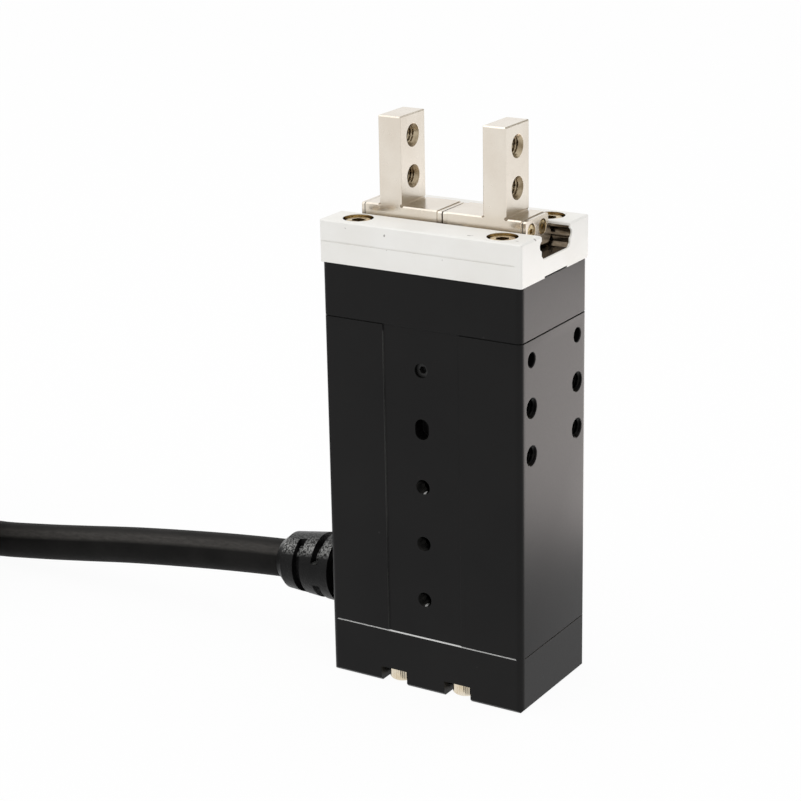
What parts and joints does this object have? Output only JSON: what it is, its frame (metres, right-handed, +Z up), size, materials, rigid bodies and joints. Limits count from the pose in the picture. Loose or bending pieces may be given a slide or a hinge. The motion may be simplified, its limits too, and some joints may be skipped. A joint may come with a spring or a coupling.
{
  "type": "electric two finger gripper",
  "caption": "Slim electric parallel gripper with a servo drive in its housing, two fingers on a ball guide driven by one pinion, and a coiled cable with a round plug.",
  "frame": {"origin": "centre of the housing's bottom face", "axes": "+Z up to the fingers, X along the stroke, the front face with its column of holes on -Y, the cable on -X"},
  "size_m": [0.2359, 0.0964, 0.1196],
  "materials": {
    "black_anodised": "fine bead blasted and black anodised, satin",
    "guide_silver": "machined and clear anodised, satin",
    "nickel": "electroless nickel plate, satin",
    "screw_nickel": "nickel plated",
    "steel": "ground",
    "dark_steel": "black oxide",
    "gear_steel": "hobbed",
    "laminated_steel": "stacked sheet",
    "copper_wire": "enamelled copper",
    "magnet": "nickel plated magnet",
    "brass": "stamped",
    "ball_steel": "polished",
    "board_green": "solder mask",
    "chip_black": "moulded",
    "wire_red": "insulated core",
    "rubber_black": "moulded, satin",
    "cable_black": "extruded jacket, satin",
    "plug_black": "overmoulded",
    "plug_metal": "nickel plated brass"
  },
  "bodies": {
    "housing": {"bottom_cap": "black_anodised", "cap_screws": "screw_nickel", "main_body": "black_anodised", "gear_housing": "black_anodised", "guide_block": "guide_silver", "guide_screws": "screw_nickel", "motor_can": "steel", "rear_bell": "steel", "stator_core": "laminated_steel", "windings": "copper_wire", "motor_bearings": "steel", "encoder_board": "board_green", "ring_gear": "gear_steel", "gearhead_housing": "steel", "gearhead_screws": "dark_steel", "gearhead_grub_screw": "dark_steel", "output_bearings": "steel", "bearing_spacer": "steel", "pinion_bearing": "steel", "driver_board": "board_green", "board_parts": "chip_black", "cable_cores": "wire_red", "strain_relief": "rubber_black", "cable": "cable_black", "cable_coil": "cable_black", "plug_body": "plug_black", "plug_insert": "plug_black"},
    "right_finger": {"finger_right": "nickel", "end_caps_right": "nickel", "end_screws_right": "screw_nickel", "rack_right": "gear_steel", "rack_screw_right": "dark_steel"},
    "left_finger": {"finger_left": "nickel", "end_caps_left": "nickel", "end_screws_left": "screw_nickel", "rack_left": "gear_steel", "rack_screw_left": "dark_steel"},
    "right_balls": {"ball_cages_right": "brass", "balls_right": "ball_steel"},
    "left_balls": {"ball_cages_left": "brass", "balls_left": "ball_steel"},
    "output_drive": {"planet_carrier": "steel", "planet_pins": "steel", "drive_pinion": "gear_steel"},
    "planet_1": {"planet_gear_1": "gear_steel"},
    "planet_2": {"planet_gear_2": "gear_steel"},
    "planet_3": {"planet_gear_3": "gear_steel"},
    "rotor": {"motor_shaft": "steel", "rotor_magnet": "magnet", "encoder_magnet": "magnet", "sun_gear": "gear_steel"},
    "plug_ring": {"plug_nut": "plug_metal"}
  },
  "joints": [
    {"name": "finger_right_slide", "type": "slide", "parent": "housing", "child": "right_finger", "axis": [1, 0, 0], "range_m": [0, 0.004]},
    {"name": "finger_left_slide", "type": "slide", "parent": "housing", "child": "left_finger", "axis": [-1, 0, 0], "range_m": [0, 0.004]},
    {"name": "balls_right_slide", "type": "slide", "parent": "housing", "child": "right_balls", "axis": [1, 0, 0], "range_m": [0, 0.002]},
    {"name": "balls_left_slide", "type": "slide", "parent": "housing", "child": "left_balls", "axis": [-1, 0, 0], "range_m": [0, 0.002]},
    {"name": "output_turn", "type": "hinge", "parent": "housing", "child": "output_drive", "pos_m": [0, 0, 0.085], "axis": [0, 0, 1], "range_deg": [0, 57.3]},
    {"name": "motor_turn", "type": "hinge", "parent": "housing", "child": "rotor", "pos_m": [0, 0, 0.035], "axis": [0, 0, 1], "range_deg": [0, 286.5]},
    {"name": "planet_1_turn", "type": "hinge", "parent": "output_drive", "child": "planet_1", "pos_m": [0.00525, 0, 0.055], "axis": [0, 0, 1], "range_deg": [-152.8, 0]},
    {"name": "planet_2_turn", "type": "hinge", "parent": "output_drive", "child": "planet_2", "pos_m": [-0.00263, 0.00455, 0.055], "axis": [0, 0, 1], "range_deg": [-152.8, 0]},
    {"name": "planet_3_turn", "type": "hinge", "parent": "output_drive", "child": "planet_3", "pos_m": [-0.00263, -0.00455, 0.055], "axis": [0, 0, 1], "range_deg": [-152.8, 0]},
    {"name": "plug_nut_turn", "type": "hinge", "parent": "housing", "child": "plug_ring", "pos_m": [-0.1995, -0.06, 0.03302], "axis": [0, -1, 0], "continuous": true}
  ],
  "couplings": [
    {"joint": "finger_left_slide", "follows": "finger_right_slide", "ratio": 1},
    {"joint": "balls_right_slide", "follows": "finger_right_slide", "ratio": 0.5},
    {"joint": "balls_left_slide", "follows": "finger_right_slide", "ratio": 0.5},
    {"joint": "output_turn", "follows": "finger_right_slide", "rad_per_m": 250},
    {"joint": "motor_turn", "follows": "finger_right_slide", "rad_per_m": 1250},
    {"joint": "planet_1_turn", "follows": "finger_right_slide", "rad_per_m": -666.67},
    {"joint": "planet_2_turn", "follows": "finger_right_slide", "rad_per_m": -666.67},
    {"joint": "planet_3_turn", "follows": "finger_right_slide", "rad_per_m": -666.67}
  ]
}
